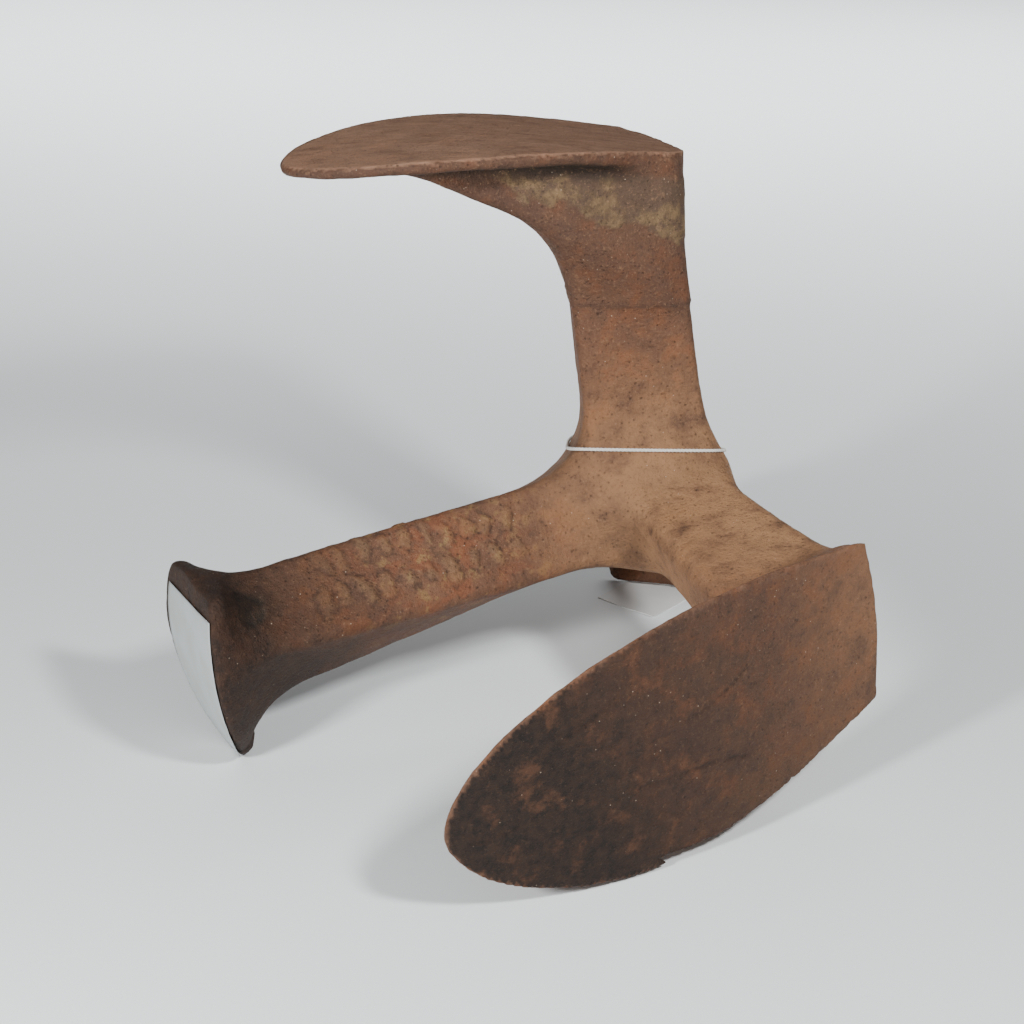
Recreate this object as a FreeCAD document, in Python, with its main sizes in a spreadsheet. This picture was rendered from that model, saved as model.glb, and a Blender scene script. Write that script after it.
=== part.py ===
import FreeCAD, Part
import Sketcher
import math
import os

# Four-way iron shoe last (cobbler's anvil): one casting with four feet on a common hub, a cotton
# string tied round the upper arm, a card tag on the string and a paper label on the heel foot.
# Millimetres, +Z up. Origin: middle of the footprint, on the bench that the last stands on.

Vector = FreeCAD.Vector
doc = FreeCAD.newDocument("ShoeLast")

# ---------------------------------------------------------------- driving dimensions
SIZES = {
    "hub_x": 52.6, "hub_y": 55.4, "hub_height": 73.8, "hub_radius": 27.0,
    # small sole foot (upper foot)
    "top_heel_x": 49.7, "top_heel_y": 71.9, "top_heel_z": 217.1,
    "top_face_azimuth": 51.5, "top_face_elevation": 80.2,
    "top_toe_azimuth": 202.5, "top_toe_elevation": 8.6,
    "top_length": 149.3, "top_width": 87.0, "top_thickness": 5.5,
    "top_droop": 17.7, "top_flat": 36.0, "top_crown": 0.0,
    "top_arm_x": 23.5, "top_arm_y": 6.0, "top_arm_half_width": 23.3, "top_arm_half_depth": 15.0,
    "top_root_half_width": 26.0, "top_root_half_depth": 17.0,
    "top_end_half_width": 24.0, "top_end_half_depth": 18.0,
    "top_web_reach": 107.0, "top_web_drop": 32.0, "top_web_width": 14.0,
    # large sole foot (lower right)
    "large_heel_x": 131.0, "large_heel_y": -46.4, "large_heel_z": 69.6,
    "large_face_azimuth": 311.1, "large_face_elevation": 1.0,
    "large_toe_azimuth": 221.3, "large_toe_elevation": -10.3,
    "large_length": 187.8, "large_width": 100.8, "large_thickness": 5.5,
    "large_droop": 25.0, "large_flat": 56.0, "large_crown": 0.0,
    "large_arm_x": 30.0, "large_arm_y": -6.0,
    "large_arm_half_width": 25.0, "large_arm_half_depth": 16.0,
    "large_root_half_width": 15.0, "large_root_half_depth": 15.0,
    "large_end_half_width": 32.0, "large_end_half_depth": 19.0,
    "large_web_reach": 135.0, "large_web_drop": 40.0, "large_web_width": 16.0,
    # large heel foot (lower left)
    "heel_breast_x": -122.9, "heel_breast_y": -30.9, "heel_breast_z": 74.5,
    "heel_face_azimuth": 205.6, "heel_face_elevation": -10.9,
    "heel_round_azimuth": 323.7, "heel_round_elevation": -82.6,
    "heel_length": 76.2, "heel_width": 61.0, "heel_thickness": 6.0,
    "heel_droop": 0.0, "heel_flat": 0.0, "heel_crown": 7.1,
    "heel_arm_x": 30.5, "heel_arm_y": 0.0, "heel_arm_half_width": 18.5, "heel_arm_half_depth": 15.5,
    "heel_root_half_width": 18.0, "heel_root_half_depth": 17.0,
    "heel_end_half_width": 21.0, "heel_end_half_depth": 20.0,
    # small heel foot (rear)
    "rear_breast_x": 62.9, "rear_breast_y": 118.7, "rear_breast_z": 0.4,
    "rear_face_azimuth": 78.0, "rear_face_elevation": -33.0,
    "rear_round_azimuth": 78.0, "rear_round_elevation": 57.0,
    "rear_length": 56.0, "rear_width": 50.0, "rear_thickness": 6.0,
    "rear_droop": 0.0, "rear_flat": 0.0, "rear_crown": 4.0,
    "rear_arm_x": 28.0, "rear_arm_y": 0.0, "rear_arm_half_width": 14.0, "rear_arm_half_depth": 13.0,
    "rear_root_half_width": 12.5, "rear_root_half_depth": 11.5,
    "rear_end_half_width": 18.0, "rear_end_half_depth": 17.0,
    # the arms' round corners, and their turn about their own line
    "arm_corner": 5.0, "top_arm_turn": -12.5, "large_arm_turn": 0.0, "heel_arm_turn": 35.0,
    "rear_arm_turn": 0.0,
    # paper and string
    "label_margin": 1.2, "label_start": 8.0, "label_thickness": 0.3,
    "string_diameter": 1.4,
    "tag_length": 48.0, "tag_width": 30.0, "tag_thickness": 0.35, "tag_clip": 6.0,
    "tag_corner_x": 58.6, "tag_corner_y": 86.4, "tag_azimuth": 50.0,
    "tag_hole_radius": 2.0, "tag_hole_inset": 6.5,
}

sheet = doc.addObject("Spreadsheet::Sheet", "Sizes")
for row, (alias, value) in enumerate(SIZES.items(), start=1):
    sheet.set("A%d" % row, alias)
    sheet.set("B%d" % row, str(value))
    sheet.setAlias("B%d" % row, alias)
doc.recompute()


def size(alias):
    """A driving dimension, read back from the sheet."""
    return float(sheet.get(alias))


# ---------------------------------------------------------------- helpers
def direction(azimuth, elevation):
    """Unit vector from two angles in degrees."""
    a, e = math.radians(azimuth), math.radians(elevation)
    return Vector(math.cos(a) * math.cos(e), math.sin(a) * math.cos(e), math.sin(e))


def foot_placement(foot, edge, end):
    """A foot's own frame: X from its straight edge to its toe or round end, Z out of its face."""
    out = direction(size(foot + "_face_azimuth"), size(foot + "_face_elevation"))
    along = direction(size("%s_%s_azimuth" % (foot, end)), size("%s_%s_elevation" % (foot, end)))
    along = (along - out * along.dot(out)).normalize()
    base = Vector(*[size("%s_%s_%s" % (foot, edge, axis)) for axis in "xyz"])
    return FreeCAD.Placement(base, FreeCAD.Rotation(along, out.cross(along), out, "ZXY"))


def new_sketch(body, name, role, offset=None):
    """A sketch on one of the body's own origin planes."""
    sketch = body.newObject("Sketcher::SketchObject", name)
    plane = [f for f in body.Origin.OriginFeatures if f.Role == role][0]
    sketch.AttachmentSupport = [(plane, "")]
    sketch.MapMode = "FlatFace"
    if offset:
        sketch.AttachmentOffset = FreeCAD.Placement(offset, FreeCAD.Rotation())
    return sketch


def spline(points):
    """A smooth curve through the points."""
    curve = Part.BSplineCurve()
    curve.interpolate([Vector(x, y, 0) for x, y in points])
    return curve


def line(start, end):
    return Part.LineSegment(Vector(start[0], start[1], 0), Vector(end[0], end[1], 0))


def pad(body, name, sketch, length_expression, symmetric=False, downward=False):
    feature = body.newObject("PartDesign::Pad", name)
    feature.Profile = sketch
    feature.setExpression("Length", length_expression)
    if symmetric:
        feature.SideType = "Symmetric"
    feature.Reversed = downward
    return feature


def new_body(name):
    return doc.addObject("PartDesign::Body", name)


# Half widths of a sole, as parts of half its full width, at parts of its length from the heel end.
SOLE_SHAPE = [(0.0, 0.60), (0.2, 0.85), (0.4, 1.0), (0.6, 0.99), (0.8, 0.78), (0.92, 0.46)]
# The same for a heel, from its straight edge to its round end.
HEEL_SHAPE = [(0.0, 0.9), (0.3, 1.0), (0.6, 0.885), (0.85, 0.56)]


def outline(sketch, length, width, shape):
    """A sole or heel seen from outside its face: a straight end, two sides and one round end."""
    side = [(part * length, share * width / 2) for part, share in shape]
    sketch.addGeometry(line((0, side[0][1]), (0, -side[0][1])))
    far = [(x, -y) for x, y in side]
    sketch.addGeometry(spline(far + [(length, 0)] + side[::-1]))


def face_height(foot, x):
    """The face's height at x from the straight end: a heel is crowned, a sole bends down at its toe."""
    flat, length = size(foot + "_flat"), size(foot + "_length")
    crown = size(foot + "_crown") * (1 - (2 * x / length - 1) ** 2)
    return crown - size(foot + "_droop") * max(0.0, (x - flat) / (length - flat)) ** 2


def curved_strip(foot, name, low, high, width_expression):
    """A strip across the foot that follows its face, from low to high above it."""
    strip = new_body(name)
    sketch = new_sketch(strip, name + "_sketch", "XZ_Plane")
    flat, overlap = size(foot + "_flat"), 2.0
    start = flat if flat else -overlap
    end = size(foot + "_length") + overlap
    stations = [start + (end - start) * i / 4.0 for i in range(5)]
    top = [(x, face_height(foot, x) + high) for x in stations]
    bottom = [(x, face_height(foot, x) + low) for x in stations]
    ends = (top[0], bottom[0])
    if flat:
        ends = ((-overlap, high), (-overlap, low))
        sketch.addGeometry(line(ends[0], top[0]))
        sketch.addGeometry(line(bottom[0], ends[1]))
    sketch.addGeometry(spline(top))
    sketch.addGeometry(line(top[-1], bottom[-1]))
    sketch.addGeometry(spline(bottom[::-1]))
    sketch.addGeometry(line(ends[1], ends[0]))
    pad(strip, name + "_pad", sketch, width_expression, symmetric=True)
    return strip


def common(name, pieces):
    piece = doc.addObject("Part::MultiCommon", name)
    piece.Shapes = pieces
    return piece


def foot_plate(foot, shape):
    """A sole or heel: its outline, cut to a strip that follows its face."""
    blank = new_body(foot + "_outline")
    sketch = new_sketch(blank, foot + "_outline_sketch", "XY_Plane", Vector(0, 0, size(foot + "_crown")))
    outline(sketch, size(foot + "_length"), size(foot + "_width"), shape)
    pad(blank, foot + "_outline_pad", sketch,
        "Sizes.{0}_crown + Sizes.{0}_droop + Sizes.{0}_thickness".format(foot), downward=True)
    strip = curved_strip(foot, foot + "_rocker", -size(foot + "_thickness"), 0.0,
                         "Sizes.%s_width + 4" % foot)
    return [blank, strip], common(foot + "_plate", [blank, strip])


def rounded_rectangle(sketch, half_width, half_depth):
    """A rectangle with round corners about the sketch's origin, its sizes bound to the sheet."""
    a, b, r = size(half_width), size(half_depth), size("arm_corner")
    corners = [(a - r, r - b, -90), (a - r, b - r, 0), (r - a, b - r, 90), (r - a, r - b, 180)]
    sides = [((r - a, -b), (a - r, -b)), ((a, r - b), (a, b - r)),
             ((a - r, b), (r - a, b)), ((-a, b - r), (-a, r - b))]
    for (start, end), (x, y, angle) in zip(sides, corners):
        sketch.addGeometry(line(start, end))
        circle = Part.Circle(Vector(x, y, 0), Vector(0, 0, 1), r)
        sketch.addGeometry(Part.ArcOfCircle(circle, math.radians(angle), math.radians(angle + 90)))
    for i in range(8):
        sketch.addConstraint(Sketcher.Constraint("Tangent", i, 2, (i + 1) % 8, 1))
    for i in (0, 4):
        sketch.addConstraint(Sketcher.Constraint("Horizontal", i))
    sketch.addConstraint(Sketcher.Constraint("Vertical", 2))
    for i in (3, 5, 7):
        sketch.addConstraint(Sketcher.Constraint("Equal", 1, i))
    sketch.addConstraint(Sketcher.Constraint("Symmetric", 7, 3, 3, 3, -1, 1))
    radius = sketch.addConstraint(Sketcher.Constraint("Radius", 1, r))
    width = sketch.addConstraint(Sketcher.Constraint("DistanceX", 6, 1, 2, 1, 2 * a))
    depth = sketch.addConstraint(Sketcher.Constraint("DistanceY", 0, 1, 4, 1, 2 * b))
    sketch.setExpression("Constraints[%d]" % radius, "Sizes.arm_corner")
    sketch.setExpression("Constraints[%d]" % width, "2 * Sizes." + half_width)
    sketch.setExpression("Constraints[%d]" % depth, "2 * Sizes." + half_depth)


FLARE_SHARE = 0.24      # the part of an arm, from its foot, over which it flares to the plate


def arm(foot, place):
    """A foot's arm, lofted from just under its face to the middle of the hub."""
    hub = place.inverse().multVec(Vector(size("hub_x"), size("hub_y"), size("hub_height")))
    near = Vector(size(foot + "_arm_x"), size(foot + "_arm_y"), -0.5 * size(foot + "_thickness"))
    turn = FreeCAD.Rotation(Vector(0, 0, 1), size(foot + "_arm_turn"))
    body = new_body(foot + "_arm")
    sketches = []
    for name, part in (("end", 0.0), ("arm", FLARE_SHARE), ("root", 1.0)):
        sketch = new_sketch(body, "%s_%s_section" % (foot, name), "XY_Plane")
        at = near + (hub - near) * part
        sketch.AttachmentOffset = FreeCAD.Placement(at, turn)
        rounded_rectangle(sketch, "%s_%s_half_width" % (foot, name), "%s_%s_half_depth" % (foot, name))
        sketches.append(sketch)
    loft = body.newObject("PartDesign::AdditiveLoft", foot + "_arm_loft")
    loft.Profile = sketches[0]
    loft.Sections = sketches[1:]
    loft.Ruled = True
    return body


# The web's lower edge, in parts of its drop: out from the arm's side, and down from the face.
WEB_BENDS = [(0.2, 0.75), (-0.1, 1.15)]
WEB_ROOT = 1.5          # the same part down, at the middle of the arm


def web(foot):
    """The rib that carries a sole's toe: from the arm's side up to the underside of the sole."""
    under = 0.5 * size(foot + "_thickness")
    reach, drop = size(foot + "_web_reach"), size(foot + "_web_drop")
    middle, edge = size(foot + "_arm_x"), size(foot + "_arm_x") + size(foot + "_end_half_width")
    body = new_body(foot + "_web")
    sketch = new_sketch(body, foot + "_web_sketch", "XZ_Plane", Vector(0, 0, -size(foot + "_arm_y")))
    corners = [(middle, -under), (reach, -under + face_height(foot, reach))]
    corners += [(edge + out * drop, -down * drop) for out, down in WEB_BENDS]
    corners.append((middle, -WEB_ROOT * drop))
    for start, end in zip(corners, corners[1:] + corners[:1]):
        sketch.addGeometry(line(start, end))
    pad(body, foot + "_web_pad", sketch, "Sizes.%s_web_width" % foot, symmetric=True)
    return body


# ---------------------------------------------------------------- the casting
FOOT_ENDS = {"sole": ("heel", "toe"), "heel": ("breast", "round")}
HUB_SEAM_TURN = 37.0   # keeps the sphere's seam away from the arms' flat sides


def casting():
    """Hub and four feet, fused into the one iron casting that they are."""
    hub = doc.addObject("Part::Sphere", "hub")
    hub.setExpression("Radius", "Sizes.hub_radius")
    hub.Placement.Rotation = FreeCAD.Rotation(Vector(0, 0, 1), HUB_SEAM_TURN)
    for axis, alias in (("x", "hub_x"), ("y", "hub_y"), ("z", "hub_height")):
        hub.setExpression("Placement.Base." + axis, "Sizes." + alias)
    pieces = [hub]
    for foot, kind in (("top", "sole"), ("large", "sole"), ("heel", "heel"), ("rear", "heel")):
        place = foot_placement(foot, *FOOT_ENDS[kind])
        parts, plate = foot_plate(foot, SOLE_SHAPE if kind == "sole" else HEEL_SHAPE)
        parts.append(arm(foot, place))
        if kind == "sole":
            parts.append(web(foot))
        pieces += [plate] + parts[2:]
        for part in parts:
            part.Placement = place
    fused = doc.addObject("Part::MultiFuse", "last_casting")
    fused.Shapes = pieces
    fused.Label = "last_casting"
    return fused


# ---------------------------------------------------------------- paper label on the heel foot
def heel_half_width(x):
    """Half the heel's width at x from its straight edge, between the outline's points."""
    part = x / size("heel_length")
    for (p0, s0), (p1, s1) in zip(HEEL_SHAPE, HEEL_SHAPE[1:]):
        if part <= p1:
            return (s0 + (s1 - s0) * (part - p0) / (p1 - p0)) * size("heel_width") / 2
    return HEEL_SHAPE[-1][1] * size("heel_width") / 2


def heel_label():
    start, margin, length = size("label_start"), size("label_margin"), size("heel_length")
    stations = [start] + [part * length for part, share in HEEL_SHAPE[1:]]
    side = [(x, heel_half_width(x) - margin) for x in stations]
    blank = new_body("label_outline")
    sketch = new_sketch(blank, "label_outline_sketch", "XY_Plane")
    sketch.addGeometry(line(side[0], (side[0][0], -side[0][1])))
    sketch.addGeometry(spline([(x, -y) for x, y in side] + [(length - margin, 0)] + side[::-1]))
    pad(blank, "label_outline_pad", sketch, "Sizes.heel_crown + 1")
    sheet_strip = curved_strip("heel", "label_sheet", 0.0, size("label_thickness"), "Sizes.heel_width")
    place = foot_placement("heel", *FOOT_ENDS["heel"])
    for body in (blank, sheet_strip):
        body.Placement = place
    return common("heel_label", [blank, sheet_strip])


# ---------------------------------------------------------------- string and tag
# Loop round the foot of the upper arm, from one side of the knot to the other.
LOOP_ROUTE = [(68.9, 82.0, 92.6), (73.3, 82.9, 92.7), (80.5, 42.1, 99.6), (24.2, 31.8, 100.0),
              (17.3, 71.1, 91.6), (39.6, 75.8, 92.4), (63.3, 80.8, 92.6)]
LOOP_BENDS = {1: 3.2, 2: 6.0, 3: 6.0, 4: 6.0}
# Tail from the knot, down behind the hub, along the bench to the hole in the tag.
TAIL_ROUTE = [(66.1, 81.4, 89.8), (66.2, 81.6, 84.0), (72.1, 88.8, 74.0), (78.9, 92.0, 57.0),
              (82.5, 93.8, 37.0), (84.3, 96.8, 19.0), (86.3, 100.8, 7.0), (90.1, 107.4, 1.8),
              (92.6, 116.4, 1.2), (90.1, 125.4, 1.3), (82.6, 130.0, 1.5), (75.6, 128.4, 1.6)]
KNOT_CENTRE = (66.1, 81.4, 92.6)
KNOT_SIZE = (5.8, 4.6, 5.6)


def corner_radius(before, corner, after):
    """The largest arc at a corner that leaves a tenth of the shorter run straight at each side."""
    first, second = corner - before, after - corner
    half_turn = first.getAngle(second) / 2
    return 0.45 * min(first.Length, second.Length) / math.tan(half_turn)


def tube(points, diameter, bends):
    """A round cord along straight runs joined by tangent arcs."""
    points = [Vector(*p) for p in points]
    edges, start, radii = [], points[0], []
    for i in range(1, len(points) - 1):
        before, corner, after = points[i - 1], points[i], points[i + 1]
        into, out = (corner - before).normalize(), (after - corner).normalize()
        radius = bends.get(i, corner_radius(before, corner, after))
        radii.append(round(radius, 1))
        reach = radius * math.tan(into.getAngle(out) / 2)
        first, last = corner - into * reach, corner + out * reach
        middle_way = (out - into).normalize()
        centre = corner + middle_way * (radius / math.cos(into.getAngle(out) / 2))
        edges.append(Part.LineSegment(start, first).toShape())
        edges.append(Part.Arc(first, centre - middle_way * radius, last).toShape())
        start = last
    edges.append(Part.LineSegment(start, points[-1]).toShape())
    path = Part.Wire(edges)
    circle = Part.Circle(points[0], points[1] - points[0], diameter / 2)
    solid = path.makePipeShell([Part.Wire([circle.toShape()])], True, True)
    expected = math.pi * diameter ** 2 / 4 * path.Length
    ratio = solid.Volume / expected
    print("cord length %.1f mm, volume ratio %.4f, radii %s" % (path.Length, ratio, radii))
    return solid


def cord(name, route, bends):
    feature = doc.addObject("Part::Feature", name)
    feature.Shape = tube(route, size("string_diameter"), bends)
    return feature


def string_knot():
    knot = doc.addObject("Part::Box", "string_knot")
    knot.Length, knot.Width, knot.Height = KNOT_SIZE
    turn = FreeCAD.Rotation(Vector(0, 0, 1), 12.0)
    corner = Vector(*[-s / 2 for s in KNOT_SIZE])
    knot.Placement = FreeCAD.Placement(Vector(*KNOT_CENTRE) + turn.multVec(corner), turn)
    return knot


def hang_tag():
    """A card tag with two clipped corners and a hole for the string, flat on the bench."""
    length, width, clip = size("tag_length"), size("tag_width"), size("tag_clip")
    body = new_body("hang_tag")
    sketch = new_sketch(body, "hang_tag_sketch", "XY_Plane")
    corners = [(0, 0), (length - clip, 0), (length, clip),
               (length, width - clip), (length - clip, width), (0, width)]
    for start, end in zip(corners, corners[1:] + corners[:1]):
        sketch.addGeometry(line(start, end))
    hole = Part.Circle(Vector(length - size("tag_hole_inset"), width / 2, 0), Vector(0, 0, 1), 1.0)
    ring = sketch.addGeometry(hole)
    radius = sketch.addConstraint(Sketcher.Constraint("Radius", ring, 1.0))
    sketch.setExpression("Constraints[%d]" % radius, "Sizes.tag_hole_radius")
    pad(body, "hang_tag_pad", sketch, "Sizes.tag_thickness")
    body.Placement = FreeCAD.Placement(Vector(size("tag_corner_x"), size("tag_corner_y"), 0),
                                       FreeCAD.Rotation(Vector(0, 0, 1), size("tag_azimuth")))
    return body


# ---------------------------------------------------------------- build, check and write
nodes = {
    "last_casting": casting(),
    "heel_label": heel_label(),
    "string_loop": cord("string_loop", LOOP_ROUTE, LOOP_BENDS),
    "string_tail": cord("string_tail", TAIL_ROUTE, {}),
    "string_knot": string_knot(),
    "hang_tag": hang_tag(),
}
doc.recompute()

for item in doc.Objects:
    if "Invalid" in item.State or "Error" in item.State:
        raise RuntimeError("%s is %s" % (item.Name, item.State))
for name, item in nodes.items():
    shape = item.Shape
    if shape.isNull() or not shape.isValid() or not shape.Solids:
        raise RuntimeError("%s has no valid solid" % name)
    box = shape.BoundBox
    print("%s: %d solid, %.0f mm3, X %.1f..%.1f Y %.1f..%.1f Z %.2f..%.2f" % (
        name, len(shape.Solids), shape.Volume, box.XMin, box.XMax, box.YMin, box.YMax, box.ZMin, box.ZMax))

os.makedirs("parts", exist_ok=True)
for name, item in nodes.items():
    item.Label = name
    item.Shape.exportStep("parts/%s.step" % name)
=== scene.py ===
"""Looks of the iron shoe last: a rusty casting, a paper label, and a string with a card tag."""
import itertools
import math

import bpy
import numpy as np
from mathutils import Matrix, Vector


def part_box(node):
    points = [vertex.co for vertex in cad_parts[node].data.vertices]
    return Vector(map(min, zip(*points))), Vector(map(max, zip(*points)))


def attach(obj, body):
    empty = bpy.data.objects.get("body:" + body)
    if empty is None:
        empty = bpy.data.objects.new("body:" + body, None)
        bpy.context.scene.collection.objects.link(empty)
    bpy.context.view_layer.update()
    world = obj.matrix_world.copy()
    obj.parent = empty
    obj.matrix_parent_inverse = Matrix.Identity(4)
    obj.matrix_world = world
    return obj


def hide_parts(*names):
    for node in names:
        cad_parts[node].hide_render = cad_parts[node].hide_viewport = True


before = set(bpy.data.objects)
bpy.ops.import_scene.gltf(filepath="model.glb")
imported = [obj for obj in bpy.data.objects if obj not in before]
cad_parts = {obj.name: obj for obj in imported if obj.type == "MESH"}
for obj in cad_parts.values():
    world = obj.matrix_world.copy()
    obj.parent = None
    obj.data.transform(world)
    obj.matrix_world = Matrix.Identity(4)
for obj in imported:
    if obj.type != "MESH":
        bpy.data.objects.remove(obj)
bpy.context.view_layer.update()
MM = 0.001

# ---- casting: its distance field, in millimetres, in the model's frame
HUB = np.array((52.6, 55.4, 73.8))

# A foot's own frame: x from its straight edge to its toe or round end, y across, z out of its face.
# edge: its origin. out, along: azimuth and elevation in degrees. heel, round, widest, corner: its
# outline's shape. flat, droop, crown: its face's profile. rim: thickness at both ends. bevel and
# flare: slopes of its side and back. arm: its place on the plate, then half sizes at the plate and
# at the hub. turn: its turn at both. trap: its narrowing towards low y. corners: its corner radius.
# web: reach, start, drop and middle of the rib. web_blend, plate_blend: fillets. bite: a notch's
# two ends. heel_slope, heel_round: the heel end's slope and rounding.
FEET = {
    "small_sole": {
        "edge": (49.7, 71.9, 217.1), "out": (51.5, 80.2), "along": (202.5, 8.6),
        "length": 149.3, "width": 87.0, "heel": 0.56, "round": 0.58, "widest": 0.5,
        "flat": 0.24, "droop": 17.7, "rim": (6.0, 3.8), "bevel": 0.35, "flare": 0.10,
        "arm": ((23.5, 6.0), (23.2, 17.0), (26.0, 17.0)), "turn": (-12.5, -12.5), "trap": 5.0,
        "web": (117.0, 46.0, 34.0, 6.0), "web_blend": 26.0, "plate_blend": 8.0},
    "large_sole": {
        "edge": (131.0, -46.4, 69.6), "out": (311.1, 1.0), "along": (221.3, -10.3),
        "length": 187.8, "width": 100.8, "heel": 0.61, "round": 0.57, "widest": 0.5,
        "flat": 0.30, "droop": 25.0, "rim": (5.5, 4.0), "bevel": 0.9, "flare": 0.10,
        "arm": ((30.0, -6.0), (25.0, 17.0), (13.5, 15.0)), "turn": (0.0, 0.0),
        "trap": -6.0, "corners": 8.0,
        "web": (126.0, 54.0, 24.0, 10.0), "web_blend": 20.0, "plate_blend": 26.0,
        "bite": ((81.0, 49.5), (112.0, 44.8)), "heel_slope": 0.35, "heel_round": 3.0},
    "large_heel": {
        "edge": (-122.9, -30.9, 74.5), "out": (205.6, -10.9), "along": (323.7, -82.6),
        "length": 76.2, "width": 61.0, "corner": 7.0, "heel": 0.90, "round": 0.60, "widest": 0.3,
        "flat": 1.0, "droop": 0.0, "crown": 7.1, "rim": (4.5, 4.5), "bevel": 0.15, "flare": 0.85,
        "arm": ((30.5, 0.0), (19.3, 17.2), (18.4, 17.0)), "turn": (60.0, 8.0), "trap": 0.0,
        "web": None, "web_blend": 1.0, "plate_blend": 18.0},
    "small_heel": {
        "edge": (62.9, 118.7, 0.5), "out": (78.0, -33.0), "along": (78.0, 57.0),
        "length": 56.0, "width": 50.0, "corner": 5.0, "heel": 0.90, "round": 0.60, "widest": 0.3,
        "flat": 1.0, "droop": 0.0, "crown": 4.0, "rim": (4.5, 4.5), "bevel": 0.15, "flare": 0.6,
        "arm": ((28.0, 0.0), (15.0, 14.0), (11.5, 10.5)), "turn": (0.0, 0.0), "trap": 0.0,
        "web": None, "web_blend": 1.0, "plate_blend": 16.0},
}
OUTLINE_POINTS = 120
GRID_STEP = 1.0
GRID_MARGIN = 60.0
ARM_CORNER = 5.0
HEEL_ROUND_REACH = 40.0
HUB_BLEND = 30.0


def direction(azimuth, elevation):
    a, e = math.radians(azimuth), math.radians(elevation)
    return np.array((math.cos(a) * math.cos(e), math.sin(a) * math.cos(e), math.sin(e)))


def foot_axes(foot):
    """Rows: along the face, across it and out of it."""
    out, along = direction(*foot["out"]), direction(*foot["along"])
    along = along - out * along.dot(out)
    along /= np.linalg.norm(along)
    return np.array((along, np.cross(out, along), out))


def half_widths(foot, share):
    """Half the foot's width at shares of its length: widening, then closing in a round end."""
    widen = np.sin(np.pi / 2 * np.clip(share / foot["widest"], 0, 1)) ** 0.85
    close = np.clip((share - foot["widest"]) / (1 - foot["widest"]), 0, 1)
    rising = foot["heel"] + (1 - foot["heel"]) * widen
    closing = (1 - close ** 2) ** foot["round"]
    return np.where(share < foot["widest"], rising, closing) * foot["width"] / 2


def outline_grid(foot):
    """Signed distance to the foot's outline, sampled on a grid in the plane of its face."""
    share = 1 - (1 - np.linspace(0, 1, OUTLINE_POINTS)) ** 2
    corner = foot.get("corner", 0.0)
    x = corner + share * (foot["length"] - 2 * corner)
    half = np.maximum(half_widths(foot, share) - corner, 0)
    ring = np.concatenate((np.stack((x, half), 1), np.stack((x, -half), 1)[::-1]))
    gx = np.arange(-GRID_MARGIN, foot["length"] + GRID_MARGIN, GRID_STEP)
    gy = np.arange(-foot["width"] / 2 - GRID_MARGIN, foot["width"] / 2 + GRID_MARGIN, GRID_STEP)
    px, py = np.meshgrid(gx, gy, indexing="ij")
    nearest = np.full(px.shape, 1e9)
    inside = np.zeros(px.shape, bool)
    for (ax, ay), (bx, by) in zip(ring, np.roll(ring, -1, axis=0)):
        ex, ey = bx - ax, by - ay
        size = ex * ex + ey * ey
        if size < 1e-9:
            continue
        part = np.clip(((px - ax) * ex + (py - ay) * ey) / size, 0, 1)
        nearest = np.minimum(nearest, (px - ax - part * ex) ** 2 + (py - ay - part * ey) ** 2)
        if abs(ey) > 1e-9:
            crosses = (ay <= py) != (by <= py)
            inside ^= crosses & (px < ax + (py - ay) / ey * ex)
    distance = np.sqrt(nearest)
    distance[inside] *= -1
    return distance - corner, gx[0], gy[0]


def read_grid(grid, x, y):
    """The distance at a place, between the grid's four nearest samples."""
    distance, x0, y0 = grid
    u = np.clip((x - x0) / GRID_STEP, 0, distance.shape[0] - 1.001)
    v = np.clip((y - y0) / GRID_STEP, 0, distance.shape[1] - 1.001)
    i, j = u.astype(int), v.astype(int)
    u, v = u - i, v - j
    return (distance[i, j] * (1 - u) * (1 - v) + distance[i + 1, j] * u * (1 - v)
            + distance[i, j + 1] * (1 - u) * v + distance[i + 1, j + 1] * u * v)


def blend_union(a, b, reach):
    """Both shapes, with a soft fillet between them."""
    h = np.maximum(reach - np.abs(a - b), 0) / reach
    return np.minimum(a, b) - h * h * reach / 4


def round_common(a, b, radius):
    """What two shapes share, with its edge rounded."""
    u, v = np.maximum(a + radius, 0), np.maximum(b + radius, 0)
    return np.minimum(np.maximum(a, b), -radius) + np.sqrt(u * u + v * v)


def bar_section(x, y, half_x, half_y, radius):
    """Distance to a rectangle with round corners."""
    qx, qy = np.abs(x) - half_x + radius, np.abs(y) - half_y + radius
    outside = np.hypot(np.maximum(qx, 0), np.maximum(qy, 0))
    return outside + np.minimum(np.maximum(qx, qy), 0) - radius


def face_height(foot, x):
    """The face's height along the foot: crowned on a heel, bending back to the toe on a sole."""
    share = x / foot["length"]
    crown = foot.get("crown", 0.0) * (1 - (2 * share - 1) ** 2)
    bend = (share - foot["flat"]) / max(1e-6, 1 - foot["flat"])
    return np.maximum(crown, -8.0) - foot["droop"] * np.clip(bend, 0, 1.3) ** 2


def local(foot, p):
    """Places in the foot's own frame."""
    return (p - np.array(foot["edge"])) @ foot["axes"].T


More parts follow.
